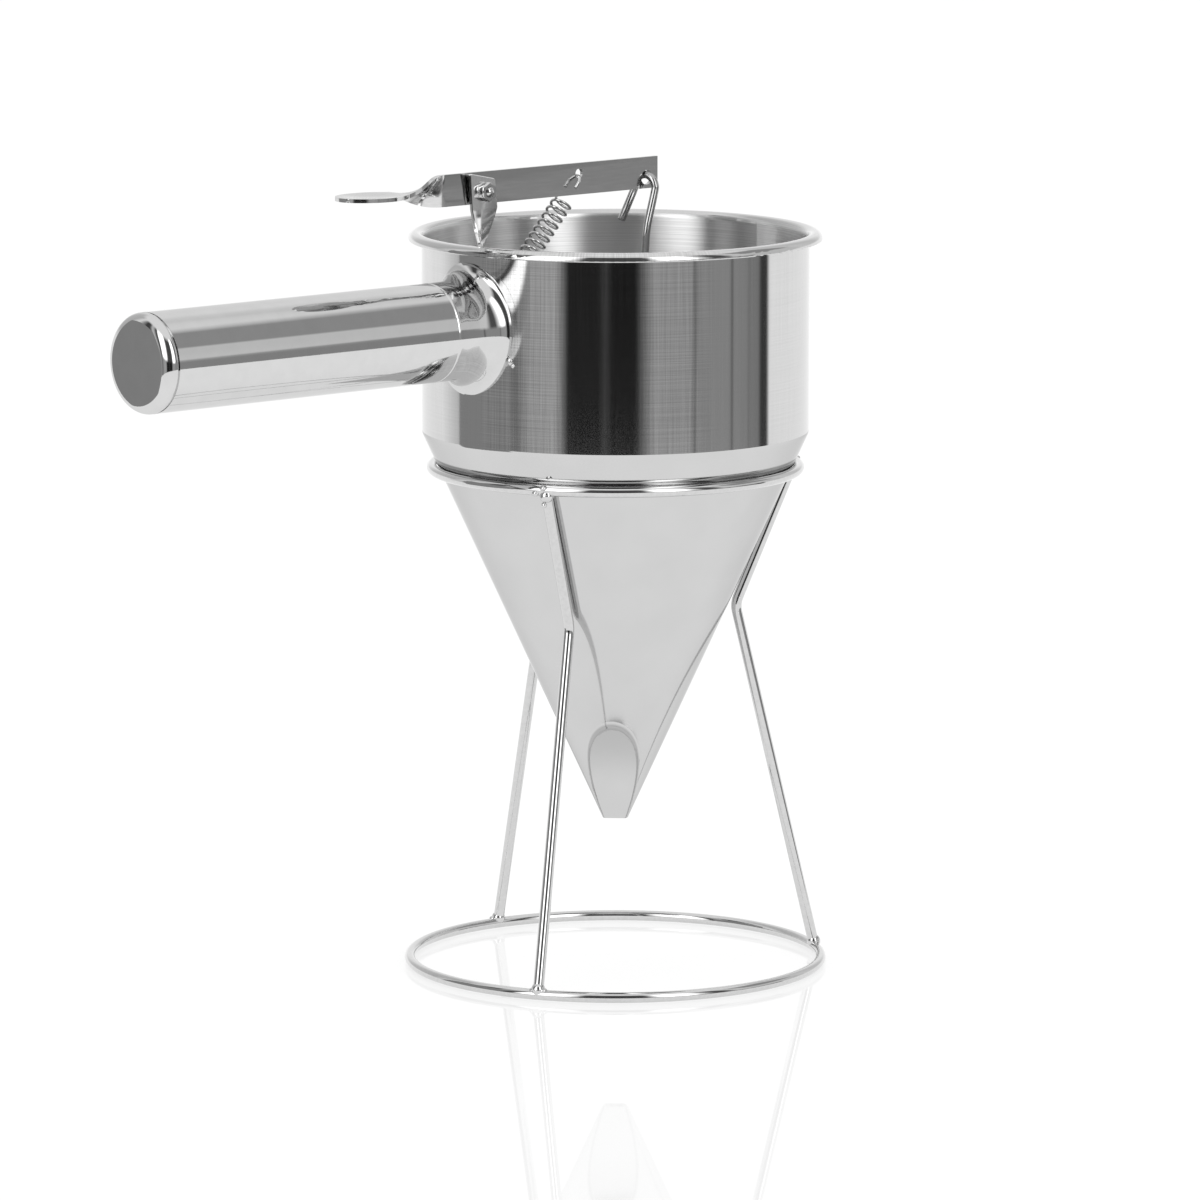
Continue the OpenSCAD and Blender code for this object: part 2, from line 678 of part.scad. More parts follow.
// Round wire swept along points
module swept_wire(points, r, first) {
    ways = directions(points);
    across = carried(ways, first);
    n = len(points);
    rings = [for (i = [0:n - 1], j = [0:wire_sides - 1])
        let (a = 360 * j / wire_sides)
        points[i] + r * (cos(a) * across[i] + sin(a) * cross(ways[i], across[i]))];
    sides = [for (i = [0:n - 2], j = [0:wire_sides - 1])
        let (a = i * wire_sides + j, b = i * wire_sides + (j + 1) % wire_sides)
        each [[a, a + wire_sides, b + wire_sides], [a, b + wire_sides, b]]];
    start_cap = [for (j = [1:wire_sides - 2]) [0, j, j + 1]];
    last = (n - 1) * wire_sides;
    end_cap = [for (j = [1:wire_sides - 2]) [last, last + j + 1, last + j]];
    polyhedron(rings, concat(start_cap, sides, end_cap));
}

// Least gap between stretches of the spring that are half a turn or more apart
spring_gap = min([for (i = [0:len(spring_points) - 1], j = [i + rings_per_turn / 2:1:len(spring_points) - 1])
    norm(spring_points[i] - spring_points[j])]) - spring_wire_d;
echo(spring_gap = spring_gap);

module spring() { color("gray") swept_wire(spring_points, spring_wire_d / 2, [0, 1, 0]); }

// Valve rod: hangs on the lever by a hook, and runs down to the plug
module valve_rod() {
    neck = [0, 0, plug_top_z];
    color(bright_steel) {
        bar([0, 0, plug_z + plug_taper_h], neck, rod_d);
        bar(neck, rod_kink, rod_d);
        bar(rod_kink, hook_mid + hook_out, rod_d);
        bar(hook_mid - hook_out, rod_tail, rod_d);
        for (corner = [neck, rod_kink, hook_mid + hook_out, hook_mid - hook_out])
            joint(corner, rod_d);
        translate(hook_mid) rotate([90, 0, rod_hook_angle - 90])
            rotate_extrude(angle = 180) translate([rod_hook_r, 0]) circle(r = rod_r);
    }
}

// Valve plug: a tapered stopper on the rod's lower end
module valve_plug() {
    band_z = plug_z + plug_taper_h;
    color("darkgray") difference() {
        union() {
            translate([0, 0, plug_z]) cylinder(d1 = plug_tip_d, d2 = plug_d, h = plug_taper_h);
            translate([0, 0, band_z]) cylinder(d = plug_d, h = plug_band_h);
            intersection() {
                translate([0, 0, plug_top_z - plug_sphere_r]) sphere(r = plug_sphere_r);
                translate([0, 0, band_z + plug_band_h]) cylinder(d = plug_d, h = plug_dome_h);
            }
        }
        translate([0, 0, band_z]) cylinder(d = rod_d, h = plug_band_h + plug_dome_h + overrun);
    }
}

base_ring();
top_ring();
leg_front();
leg_right();
leg_rear();
bowl();
cone();
handle_tube();
handle_collar();
handle_end_cap();
lever_bracket();
pivot_screw();
pivot_washer();
pivot_nut();
lever();
spring();
valve_rod();
valve_plug();
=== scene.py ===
import math

import bpy
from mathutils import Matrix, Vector


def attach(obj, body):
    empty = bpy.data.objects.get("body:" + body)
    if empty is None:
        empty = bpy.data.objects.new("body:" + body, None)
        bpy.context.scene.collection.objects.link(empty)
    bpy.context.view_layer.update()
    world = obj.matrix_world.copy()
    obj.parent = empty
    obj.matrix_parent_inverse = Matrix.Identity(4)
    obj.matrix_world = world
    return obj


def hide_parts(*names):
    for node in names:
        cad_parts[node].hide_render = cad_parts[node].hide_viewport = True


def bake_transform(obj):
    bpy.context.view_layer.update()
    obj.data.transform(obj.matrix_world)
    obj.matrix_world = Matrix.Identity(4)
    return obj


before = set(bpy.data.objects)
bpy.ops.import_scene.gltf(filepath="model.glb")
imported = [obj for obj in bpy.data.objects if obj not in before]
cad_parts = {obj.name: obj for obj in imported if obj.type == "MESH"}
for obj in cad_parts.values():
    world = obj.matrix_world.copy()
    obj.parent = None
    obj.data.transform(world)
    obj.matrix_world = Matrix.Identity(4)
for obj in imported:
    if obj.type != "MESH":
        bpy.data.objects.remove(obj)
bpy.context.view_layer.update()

MM = 0.001
scene = bpy.context.scene
scene.view_settings.view_transform = "Standard"

# Camera, at the photograph's viewing angle
SENSOR = 36.0
LENS = 238.9
CAMERA_OUT = 2505 * MM
CAMERA_HEIGHT = 515 * MM
CAMERA_ASIDE = -4.887 * MM
CAMERA_TURN = math.radians(-41.4)
CAMERA_DOWN = math.radians(9.025)
CAMERA_SIGHT = 20

# Sizes of the real pieces, in millimetres
BOWL_R = 61.4
HANDLE_Z = 209.106
TUBE_R = 15.5
SHEET = 0.8
COLLAR_X = 78.0
COLLAR_HALF_H = 20.7
COLLAR_HALF_W = 17.9
CAP_X = 188.0
CAP_END = 193.6
LEVER_Z = 253.006
PIVOT = (-56.6, 252.006)
SEAM_Z = 172.263
TIP_Z = 46.919
CONE_ANGLE = math.radians(24.7)
CONE_SLOPE = math.tan(CONE_ANGLE)
CONE_BEND_R = 3
NOZZLE_R = 4.05
NOZZLE_HALF_W = 2.44
DENT_SIDES = (225, 45)
DENT_TOOL_R = 102.8
DENT_H = 31.2
RIDGE_W = 0.8


def deselect():
    """Leaves nothing selected, so that an operator acts on the new piece alone."""
    for other in bpy.context.selected_objects:
        other.select_set(False)


def add_camera():
    """Camera as far away, as high and as much to the side as the one that took the photograph."""
    forward = Vector((-math.sin(CAMERA_TURN), math.cos(CAMERA_TURN), 0))
    right = Vector((math.cos(CAMERA_TURN), math.sin(CAMERA_TURN), 0))
    place = right * CAMERA_ASIDE - forward * CAMERA_OUT + Vector((0, 0, CAMERA_HEIGHT))
    bpy.ops.object.camera_add(location=place, rotation=(math.pi / 2 - CAMERA_DOWN, 0, CAMERA_TURN))
    camera = bpy.context.object
    camera.data.sensor_width = SENSOR
    camera.data.lens = LENS
    camera.data.clip_end = CAMERA_SIGHT
    scene.camera = camera


# Node helpers


class Graph:
    """The nodes of one material or world, made and linked in few words."""

    def __init__(self, tree):
        self.tree = tree
        tree.nodes.clear()

    def add(self, kind, inputs=None, **settings):
        node = self.tree.nodes.new(kind)
        for name, value in settings.items():
            setattr(node, name, value)
        for name, value in (inputs or {}).items():
            if isinstance(value, bpy.types.NodeSocket):
                self.tree.links.new(value, node.inputs[name])
            else:
                node.inputs[name].default_value = value
        return node

    def math(self, operation, *values):
        return self.add("ShaderNodeMath", dict(enumerate(values)), operation=operation).outputs[0]

    def ramp(self, value, stops, interpolation="LINEAR"):
        """A grey ramp: stops are pairs of place and grey."""
        node = self.add("ShaderNodeValToRGB", {"Fac": value})
        node.color_ramp.interpolation = interpolation
        elements = node.color_ramp.elements
        for place, _ in stops[2:]:
            elements.new(place)
        for element, (place, grey) in zip(elements, stops):
            element.position = place
            element.color = (grey, grey, grey, 1)
        return node.outputs["Color"]

    def noise(self, place, scale, stretch=(1, 1, 1), detail=3.0):
        """Noise whose lines run along the smallest number of stretch."""
        stretched = self.add("ShaderNodeMapping", {"Vector": place, "Scale": stretch}).outputs[0]
        noise = self.add("ShaderNodeTexNoise", {"Vector": stretched, "Scale": scale, "Detail": detail})
        return noise.outputs["Fac"]

    def object_place(self):
        """Place on the object, and its three parts."""
        place = self.add("ShaderNodeTexCoord").outputs["Object"]
        return place, self.add("ShaderNodeSeparateXYZ", {"Vector": place}).outputs

    def reach(self, across, up):
        """Distance from the middle of a circle, from its two parts."""
        squares = [self.math("MULTIPLY", part, part) for part in (across, up)]
        return self.math("SQRT", self.math("ADD", *squares))

    def bump(self, height, depth, under=None):
        """Bump with a depth in millimetres, over another bump where there is one."""
        inputs = {"Height": height, "Strength": 1.0, "Distance": depth * MM}
        if under is not None:
            inputs["Normal"] = under
        return self.add("ShaderNodeBump", inputs).outputs[0]

    def metal(self, colour, roughness, normal, edge=1.0, **more):
        """Bare metal, which mirrors less at a flat glance where its edge is below 1."""
        return self.add("ShaderNodeBsdfPrincipled", {
            "Base Color": colour, "Metallic": 1.0, "Roughness": roughness, "Normal": normal,
            "Specular Tint": (edge, edge, edge, 1), **more,
        }).outputs[0]

    def mix(self, share, first, second):
        return self.add("ShaderNodeMixShader", {0: share, 1: first, 2: second}).outputs[0]

    def finish(self, shader, kind="ShaderNodeOutputMaterial"):
        self.add(kind, {"Surface": shader})


def new_material(name):
    material = bpy.data.materials.new(name)
    material.use_nodes = True
    return material, Graph(material.node_tree)


def steel(name, grey, roughness, depth, scale, lines=(1, 1, 1), streak=0.04, edge=1.0):
    """Bare steel: drawn lines, which run along the smallest number of lines, and a cloudy polish."""
    wear = 0.02
    material, graph = new_material(name)
    place, _ = graph.object_place()
    brush = graph.noise(place, scale, lines)
    cloud = graph.noise(place, 45.0, detail=2.0)
    shine = graph.math("MULTIPLY_ADD", cloud, wear, roughness - wear / 2)
    colour = graph.ramp(brush, [(0.3, grey * (1 - streak)), (0.7, grey * (1 + streak))])
    graph.finish(graph.metal(colour, shine, graph.bump(brush, depth), edge))
    return material


def bowl_finish():
    """Outside polished over faint crossed lines, inside brushed round the wall."""
    material, graph = new_material("bowl sheet")
    _, (x, y, z) = graph.object_place()
    # Lines round the wall and lines up the wall, from the angle and the height
    turn = graph.math("ARCTAN2", y, x)
    round_place = graph.add("ShaderNodeCombineXYZ", {"X": turn, "Y": 0.0, "Z": z}).outputs[0]
    level_lines = graph.noise(round_place, 1.0, (1.2, 1.0, 3600.0), detail=4.0)
    upright_lines = graph.noise(round_place, 1.0, (110.0, 1.0, 25.0), detail=4.0)
    lines = graph.math("ADD", *[graph.math("MULTIPLY", some, 0.5) for some in (level_lines, upright_lines)])
    # The front was brushed again after the buffing
    brushed = graph.ramp(graph.math("DIVIDE", turn, -math.pi), [
        (0.56, 0.15), (0.6, 0.75), (0.74, 0.75), (0.8, 0.9), (0.955, 0.9), (0.975, 0.1),
    ])
    contrast = graph.math("MULTIPLY_ADD", graph.math("SUBTRACT", lines, 0.5), brushed, 0.5)
    outer_grey = graph.ramp(contrast, [(0.34, 0.42), (0.5, 0.61), (0.66, 0.78)])
    outside = graph.metal(outer_grey, 0.07, graph.bump(lines, 0.0008))
    inner_grey = graph.ramp(level_lines, [(0.35, 0.55), (0.65, 0.72)])
    # The lines round the inside spread the light upwards and downwards
    upright = graph.add("ShaderNodeCombineXYZ", {"X": 0.0, "Y": 0.0, "Z": 1.0}).outputs[0]
    facing = graph.add("ShaderNodeNewGeometry").outputs["Normal"]
    lean = graph.add("ShaderNodeVectorMath", {0: upright}, operation="SCALE")
    lean.inputs["Scale"].default_value = 0.12
    facing = graph.add("ShaderNodeVectorMath", {0: facing, 1: lean.outputs[0]}, operation="ADD").outputs[0]
    facing = graph.add("ShaderNodeVectorMath", {0: facing}, operation="NORMALIZE").outputs[0]
    inside = graph.metal(inner_grey, 0.3, facing, Anisotropic=0.97, Tangent=upright)
    share = graph.math("GREATER_THAN", graph.reach(x, y), (BOWL_R - SHEET / 2) * MM)
    graph.finish(graph.mix(share, inside, outside))
    return material


def dent_middle():
    """Middle of the round tool that pressed a dent: distance from the axis, and height over the tip."""
    foot = Vector((NOZZLE_HALF_W, 0))
    top = Vector((NOZZLE_R + DENT_H * CONE_SLOPE, DENT_H))
    chord = top - foot
    apart = math.sqrt(DENT_TOOL_R ** 2 / chord.length_squared - 0.25)
    return (foot + top) / 2 + apart * Vector((chord.y, -chord.x))


def cone_finish():
    """Polished sheet, with a fine ridge where the metal was pushed up round each dent of the nozzle, and
    painted shade on the ridge and the dent's upper end.
    """
    material, graph = new_material("polished cone")
    place, (x, y, z) = graph.object_place()
    # Distance beyond the pressing tool, in widths of the ridge; both dents lie where x and y are alike
    middle = dent_middle()
    along = graph.math("MULTIPLY", graph.math("ADD", x, y), math.sqrt(0.5))
    out = graph.math("SUBTRACT", graph.math("ABSOLUTE", along), middle.x * MM)
    up = graph.math("SUBTRACT", z, (TIP_Z + middle.y) * MM)
    beyond = graph.math("SUBTRACT", graph.reach(out, up), DENT_TOOL_R * MM)
    beyond = graph.math("DIVIDE", beyond, RIDGE_W * MM)
    ridge = graph.ramp(beyond, [(0.03, 0), (0.14, 0.8), (0.22, 1), (0.5, 0.4), (1, 0)], "EASE")
    cloud = graph.noise(place, 60.0, detail=2.0)
    bump = graph.bump(ridge, 0.4, graph.bump(cloud, 0.002))
    # Painted shade: the colour is darkened along the ridge and towards the upper end of the dent, which
    # turn away from the light
    height = graph.math("DIVIDE", graph.math("SUBTRACT", z, TIP_Z * MM), DENT_H * MM)
    line = graph.ramp(beyond, [(0.03, 0), (0.12, 0.34), (0.5, 0.3), (0.85, 0)], "EASE")
    inside = graph.ramp(beyond, [(0, 1), (0.03, 0)])
    dent_painted_shade = graph.math("MULTIPLY", inside, graph.ramp(height, [(0.35, 0), (0.95, 0.2)], "EASE"))
    lit = graph.math("SUBTRACT", graph.math("SUBTRACT", 1.0, line), dent_painted_shade)
    colour = graph.math("MULTIPLY", graph.ramp(cloud, [(0.3, 0.588), (0.7, 0.612)]), lit)
    shine = graph.math("MULTIPLY_ADD", cloud, 0.02, 0.07)
    graph.finish(graph.metal(colour, shine, bump, edge=0.75))
    return material


def wear_on(node, material):
    """Gives a CAD node its material."""
    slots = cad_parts[node].material_slots
    if not slots:
        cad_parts[node].data.materials.append(material)
    for place in slots:
        place.material = material


# Surroundings of the studio, seen only in the metal


def set_world():
    """White to the camera and to the floor, and a room of soft boxes and dark screens to the metal."""
    world = bpy.data.worlds.new("studio")
    scene.world = world
    world.use_nodes = True
    graph = Graph(world.node_tree)
    way = graph.add("ShaderNodeTexCoord").outputs["Generated"]
    x, y, z = graph.add("ShaderNodeSeparateXYZ", {"Vector": way}).outputs
    turn = graph.math("ARCTAN2", y, x)
    # Half a turn either side of the camera, as 0 to 1 with the camera in the middle
    camera_side = math.atan2(-math.cos(CAMERA_TURN), math.sin(CAMERA_TURN))
    turn = graph.math("SUBTRACT", turn, camera_side - math.pi)
    turn = graph.math("FRACT", graph.math("DIVIDE", turn, 2 * math.pi))
    height = graph.math("DIVIDE", graph.math("ARCSINE", z), math.pi / 2)

    def around(*stops):
        """Grey ramp round the table, whose stops are pairs of degrees right of the camera and grey."""
        return graph.ramp(turn, [(0.5 + degrees / 360, grey) for degrees, grey in stops])

    def blend(share, first, second):
        mix = graph.add("ShaderNodeMix", {"Factor": share, 6: first, 7: second}, data_type="RGBA")
        return mix.outputs[2]

    # What lies level with the bowl: dark screens with white gaps between them
    low = around(
        (-180, 1.1), (-125, 1.08), (-106, 0.66), (-104, 0.2), (-96, 0.16), (-94, 0.04), (-92, 0.04),
        (-91, 0.36), (-72, 0.44), (-62, 0.2), (-52, 0.44), (-36, 0.48), (-28, 0.02), (-10, 0.02),
        (-6, 0.06), (-2, 0.015), (12, 0.015), (23, 0.42), (46, 0.4), (47.5, 0.14), (49, 0.34),
        (71.5, 0.34), (73, 0.12), (74.5, 0.33), (85.5, 0.3), (86.3, 0.12), (87.3, 0.28), (94, 0.25),
        (96, 0.05), (102, 0.05), (103.5, 1.1), (180, 1.05))
    # Tall soft boxes and dark screens stand round the table, and the ceiling is white
    boxes = around(
        (-180, 1.0), (-168, 1.0), (-150, 0.7), (-118, 0.6), (-103, 1.0), (-95, 0.4), (-88, 0.06),
        (-80, 0.08), (-73, 0.7), (-67, 0.4), (-63, 0.08), (-58, 0.08), (-55, 1.6), (-48, 2.8),
        (-32, 2.6), (-24, 1.4), (-18, 0.1), (0, 0.08), (17, 0.1), (22, 1.2), (27, 3.0), (40, 3.0),
        (48, 1.2), (56, 0.1), (64, 0.1), (70, 0.8), (100, 0.8), (110, 0.9), (150, 0.7), (168, 1.0),
        (180, 1.0))
    # To the right, steps of grey that the handle mirrors as its stripes
    right = graph.ramp(height, [
        (0, 0.3), (0.05, 0.3), (0.07, 0.72), (0.28, 0.72), (0.31, 0.36), (0.53, 0.36), (0.58, 1.0),
        (1, 1.0),
    ])
    beside = around((78, 0), (82, 1), (120, 1), (128, 0))
    high = blend(graph.ramp(height, [(0.5, 0), (0.62, 1)]), boxes, (1, 1, 1, 1))
    high = blend(beside, high, right)
    lift = graph.ramp(height, [(0.02, 0), (0.08, 1)])
    room = blend(lift, low, high)
    path = graph.add("ShaderNodeLightPath").outputs
    inside = graph.add("ShaderNodeBackground", {"Color": room, "Strength": 1.0}).outputs[0]
    plain = graph.add("ShaderNodeBackground", {"Color": (1, 1, 1, 1), "Strength": 1.0}).outputs[0]
    graph.finish(graph.mix(path["Is Glossy Ray"], plain, inside), "ShaderNodeOutputWorld")


# White table of the studio, round at the front and long at the back
TABLE_FRONT = 1.1
TABLE_BACK = 5.0
TABLE_UNDER = 0.2
TABLE_MIRROR = 0.18


def add_table():
    """Table that shows white, mirrors the object faintly and keeps its shadow."""
    deselect()
    bpy.ops.mesh.primitive_circle_add(vertices=128, radius=TABLE_FRONT, fill_type="NGON")
    table = bpy.context.object
    table.name = "table"
    select_points(table, lambda x, y, z: y > 1)
    bpy.ops.transform.resize(
        value=(1, TABLE_BACK / TABLE_FRONT, 1), orient_type="GLOBAL", center_override=(0, 0, 0))
    leave_edit()
    table.rotation_euler = (0, 0, CAMERA_TURN)
    table.location = metres(0, 0, -TABLE_UNDER)
    bpy.ops.object.transform_apply()
    material, graph = new_material("white table")
    path = graph.add("ShaderNodeLightPath").outputs
    seen = graph.math("MULTIPLY", path["Is Glossy Ray"], 0.82)
    seen = graph.math("MULTIPLY_ADD", path["Is Camera Ray"], 0.8, seen)
    glow = graph.add("ShaderNodeEmission", {"Color": (1, 1, 1, 1), "Strength": seen})
    sheet = graph.add("ShaderNodeBsdfDiffuse", {"Color": (0.2, 0.2, 0.2, 1)})
    matt = graph.add("ShaderNodeAddShader", {0: glow.outputs[0], 1: sheet.outputs[0]}).outputs[0]
    gloss = graph.add("ShaderNodeBsdfGlossy", {"Color": (1, 1, 1, 1), "Roughness": 0.03}).outputs[0]
    share = graph.math("MULTIPLY", path["Is Camera Ray"], TABLE_MIRROR)
    graph.finish(graph.mix(share, matt, gloss))
    table.data.materials.append(material)


def add_card(name, centre, normal, width, height, grey):
    """Grey studio card, seen only in the metal."""
    deselect()
    bpy.ops.mesh.primitive_plane_add(size=1)
    card = bpy.context.object
    card.name = name
    card.scale = (width, height, 1)
    card.rotation_euler = Vector(normal).to_track_quat("Z", "Y").to_euler()
    card.location = centre
    bpy.ops.object.transform_apply()
    material, graph = new_material(name)
    glow = graph.add("ShaderNodeEmission", {"Color": (grey, grey, grey, 1), "Strength": 1.0})
    graph.finish(glow.outputs[0])
    card.data.materials.append(material)
    card.visible_camera = False
    card.visible_diffuse = False
    card.visible_shadow = False


def add_lamps():
    """Two soft lamps that aim at the middle of the object."""
    aim = Vector((0, 0, 0.12))
    lamps = (
        ("overhead lamp", (0.0, 0.2, 2.2), 1.6, 14),
        ("side lamp", (1.6, -1.4, 1.2), 1.2, 6),
    )
    for name, place, size, watts in lamps:
        bpy.ops.object.light_add(type="AREA", location=place)
        lamp = bpy.context.object
        lamp.name = name
        lamp.data.energy = watts
        lamp.data.size = size
        lamp.rotation_euler = (Vector(place) - aim).to_track_quat("Z", "Y").to_euler()
        lamp.visible_glossy = False


# Modelling helpers, whose lengths are in millimetres


def metres(*lengths):
    return Vector(lengths) * MM


def edit():
    bpy.ops.object.mode_set(mode="EDIT")


def leave_edit():
    bpy.ops.object.mode_set(mode="OBJECT")


def select_points(piece, test):
    """Selects the points whose place in millimetres passes the test, and stays in edit mode."""
    edit()
    bpy.ops.mesh.select_all(action="DESELECT")
    leave_edit()
    for point in piece.data.vertices:
        point.select = test(*(point.co / MM))
    edit()
    bpy.ops.mesh.select_mode(type="VERT")


def turn(degrees, axis, centre):
    """Turns the selection the right-handed way, which with no window is the other way."""
    bpy.ops.transform.rotate(
        value=-math.radians(degrees), orient_axis=axis, orient_type="GLOBAL",
        center_override=metres(*centre))


def resize(x, y, z, centre):
    bpy.ops.transform.resize(value=(x, y, z), orient_type="GLOBAL", center_override=metres(*centre))


def draw_out(x, y, z):
    """Extrudes the selection by a length."""
    bpy.ops.mesh.extrude_region_move(
        TRANSFORM_OT_translate={"value": metres(x, y, z), "orient_type": "GLOBAL"})


def cut(piece, *tools):
    """Cuts a piece with tools, which are then thrown away."""
    for tool in tools:
        bpy.context.view_layer.objects.active = piece
        modifier = piece.modifiers.new("cut", "BOOLEAN")
        modifier.operation = "DIFFERENCE"
        modifier.object = tool
        modifier.solver = "EXACT"
        bpy.ops.object.modifier_apply(modifier=modifier.name)
        bpy.data.objects.remove(tool)


def rod_tool(radius, length, centre, axis, sides=64):
    """Cylinder along an axis, as a cutting tool or a rough piece."""
    turns = {"X": (0, math.pi / 2, 0), "Y": (math.pi / 2, 0, 0), "Z": (0, 0, 0)}
    deselect()
    bpy.ops.mesh.primitive_cylinder_add(
        vertices=sides, radius=radius * MM, depth=length * MM, location=metres(*centre),
        rotation=turns[axis])
    bpy.ops.object.transform_apply()
    return bpy.context.object


def ring_start(name, sides, radius, centre, upright=False, fill="NOTHING"):
    """First ring of a turned piece, flat or upright across the handle, and left selected in edit mode."""
    deselect()
    bpy.ops.mesh.primitive_circle_add(
        vertices=sides, radius=radius * MM, location=metres(*centre), fill_type=fill,
        rotation=(0, math.pi / 2 if upright else 0, 0))
    bpy.ops.object.transform_apply()
    piece = bpy.context.object
    piece.name = name
    edit()
    bpy.ops.mesh.select_all(action="SELECT")
    return piece


def strip_section(name, centre, width, thickness, normal):
    """End face of a metal strip, divided across its width, and left selected in edit mode."""
    deselect()
    bpy.ops.mesh.primitive_grid_add(x_subdivisions=10, y_subdivisions=2, size=1, location=metres(*centre))
    strip = bpy.context.object
    strip.name = name
    strip.scale = (width * MM, thickness * MM, 1)
    if normal == "X":
        strip.rotation_euler = (0, math.pi / 2, 0)
    bpy.ops.object.transform_apply()
    edit()
    bpy.ops.mesh.select_all(action="SELECT")
    return strip


def close_up(piece):
    """Merges the points that meet, and turns all faces outwards."""
    deselect()
    piece.select_set(True)
    bpy.context.view_layer.objects.active = piece
    edit()
    bpy.ops.mesh.select_all(action="SELECT")
    bpy.ops.mesh.remove_doubles(threshold=0.002 * MM)
    bpy.ops.mesh.normals_make_consistent(inside=False)
    leave_edit()


def break_edges(piece, width):
    """Fine slope along the sharp edges, which catches the light."""
    bpy.context.view_layer.objects.active = piece
    modifier = piece.modifiers.new("edges", "BEVEL")
    modifier.width = width * MM
    modifier.segments = 1
    modifier.limit_method = "ANGLE"
    modifier.angle_limit = math.radians(40)
    modifier.use_clamp_overlap = True
    bpy.ops.object.modifier_apply(modifier=modifier.name)


def smooth(piece, angle=35):
    """Shades a piece smooth, apart from the edges that are sharper than an angle."""
    deselect()
    piece.select_set(True)
    bpy.context.view_layer.objects.active = piece
    bpy.ops.object.shade_smooth_by_angle(angle=math.radians(angle))


def hand_over(piece, material, body, slot, *nodes):
    """Gives a finished piece its material and its body, and hides the CAD nodes that it stands for."""
    piece.data.materials.clear()
    piece.data.materials.append(material)
    if body:
        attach(piece, body)
    if nodes:
        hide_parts(*nodes)


def wire_along(name, points, radius, roundness):
    """Round wire along a line of points, with closed ends."""
    deselect()
    curve = bpy.data.curves.new(name, "CURVE")
    curve.dimensions = "3D"
    line = curve.splines.new("POLY")
    line.points.add(len(points) - 1)
    for knot, place in zip(line.points, points):
        knot.co = (*metres(*place), 1)
    curve.bevel_depth = radius * MM
    curve.bevel_resolution = roundness
    curve.use_fill_caps = True
    wire = bpy.data.objects.new(name, curve)
    scene.collection.objects.link(wire)
    wire.select_set(True)
    bpy.context.view_layer.objects.active = wire
    bpy.ops.object.convert(target="MESH")
    return bpy.context.object


# Cone


def cone_solid(inset, low, high):
    """Cone with its bend to the bowl's wall, drawn in by an inset, as a closed solid."""
    middle_x, bend = BOWL_R - CONE_BEND_R, CONE_BEND_R - inset
    profile = [(middle_x + bend, high), (middle_x + bend, SEAM_Z)]
    bend_steps, wall_steps = 6, 40
    for step in range(1, bend_steps + 1):
        angle = CONE_ANGLE * step / bend_steps
        profile.append((middle_x + bend * math.cos(angle), SEAM_Z - bend * math.sin(angle)))
    touch_x, touch_z = profile[-1]
    for step in range(1, wall_steps + 1):
        z = touch_z + (low - touch_z) * step / wall_steps
        profile.append((touch_x - (touch_z - z) * CONE_SLOPE, z))
    solid = ring_start("cone_solid", 192, profile[0][0], (0, 0, high), fill="NGON")
    bpy.ops.mesh.delete(type="ONLY_FACE")
    bpy.ops.mesh.select_all(action="SELECT")
    (last_r, last_z), rest = profile[0], profile[1:]
    for radius, z in rest:
        draw_out(0, 0, z - last_z)
        resize(radius / last_r, radius / last_r, 1, (0, 0, z))
        last_r, last_z = radius, z
    bpy.ops.mesh.edge_face_add()
    leave_edit()
    select_points(solid, lambda x, y, z: z > high - 0.1)
    bpy.ops.mesh.edge_face_add()
    leave_edit()
    close_up(solid)
    return solid


def press(solid, grow):
    """Presses the two opposite dents of the nozzle."""
    middle = dent_middle()
    for degrees in DENT_SIDES:
        angle = math.radians(degrees)
        tool = rod_tool(DENT_TOOL_R + grow, 130, (0, 0, 0), "Y", 512)
        tool.rotation_euler = (0, 0, angle)
        tool.location = metres(middle.x * math.cos(angle), middle.x * math.sin(angle), TIP_Z + middle.y)
        deselect()
        tool.select_set(True)
        bpy.context.view_layer.objects.active = tool
        bpy.ops.object.transform_apply()
        cut(solid, tool)


def add_cone():
    """Sheet cone whose nozzle is pressed into an oval by two dents."""
    cone = cone_solid(0, TIP_Z - 3.5, SEAM_Z + 3)
    cone.name = "cone_sheet"
    press(cone, 0)
    space = cone_solid(SHEET, TIP_Z - 5, SEAM_Z + 6)
    press(space, SHEET)
    above = rod_tool(80, 20, (0, 0, SEAM_Z + 10), "Z")
    below = rod_tool(20, 20, (0, 0, TIP_Z - 10), "Z")
    cut(cone, space, above, below)
    close_up(cone)
    smooth(cone, 6)
    hand_over(cone, cone_steel, "funnel", "cone", "cone")


# Collar and end cap


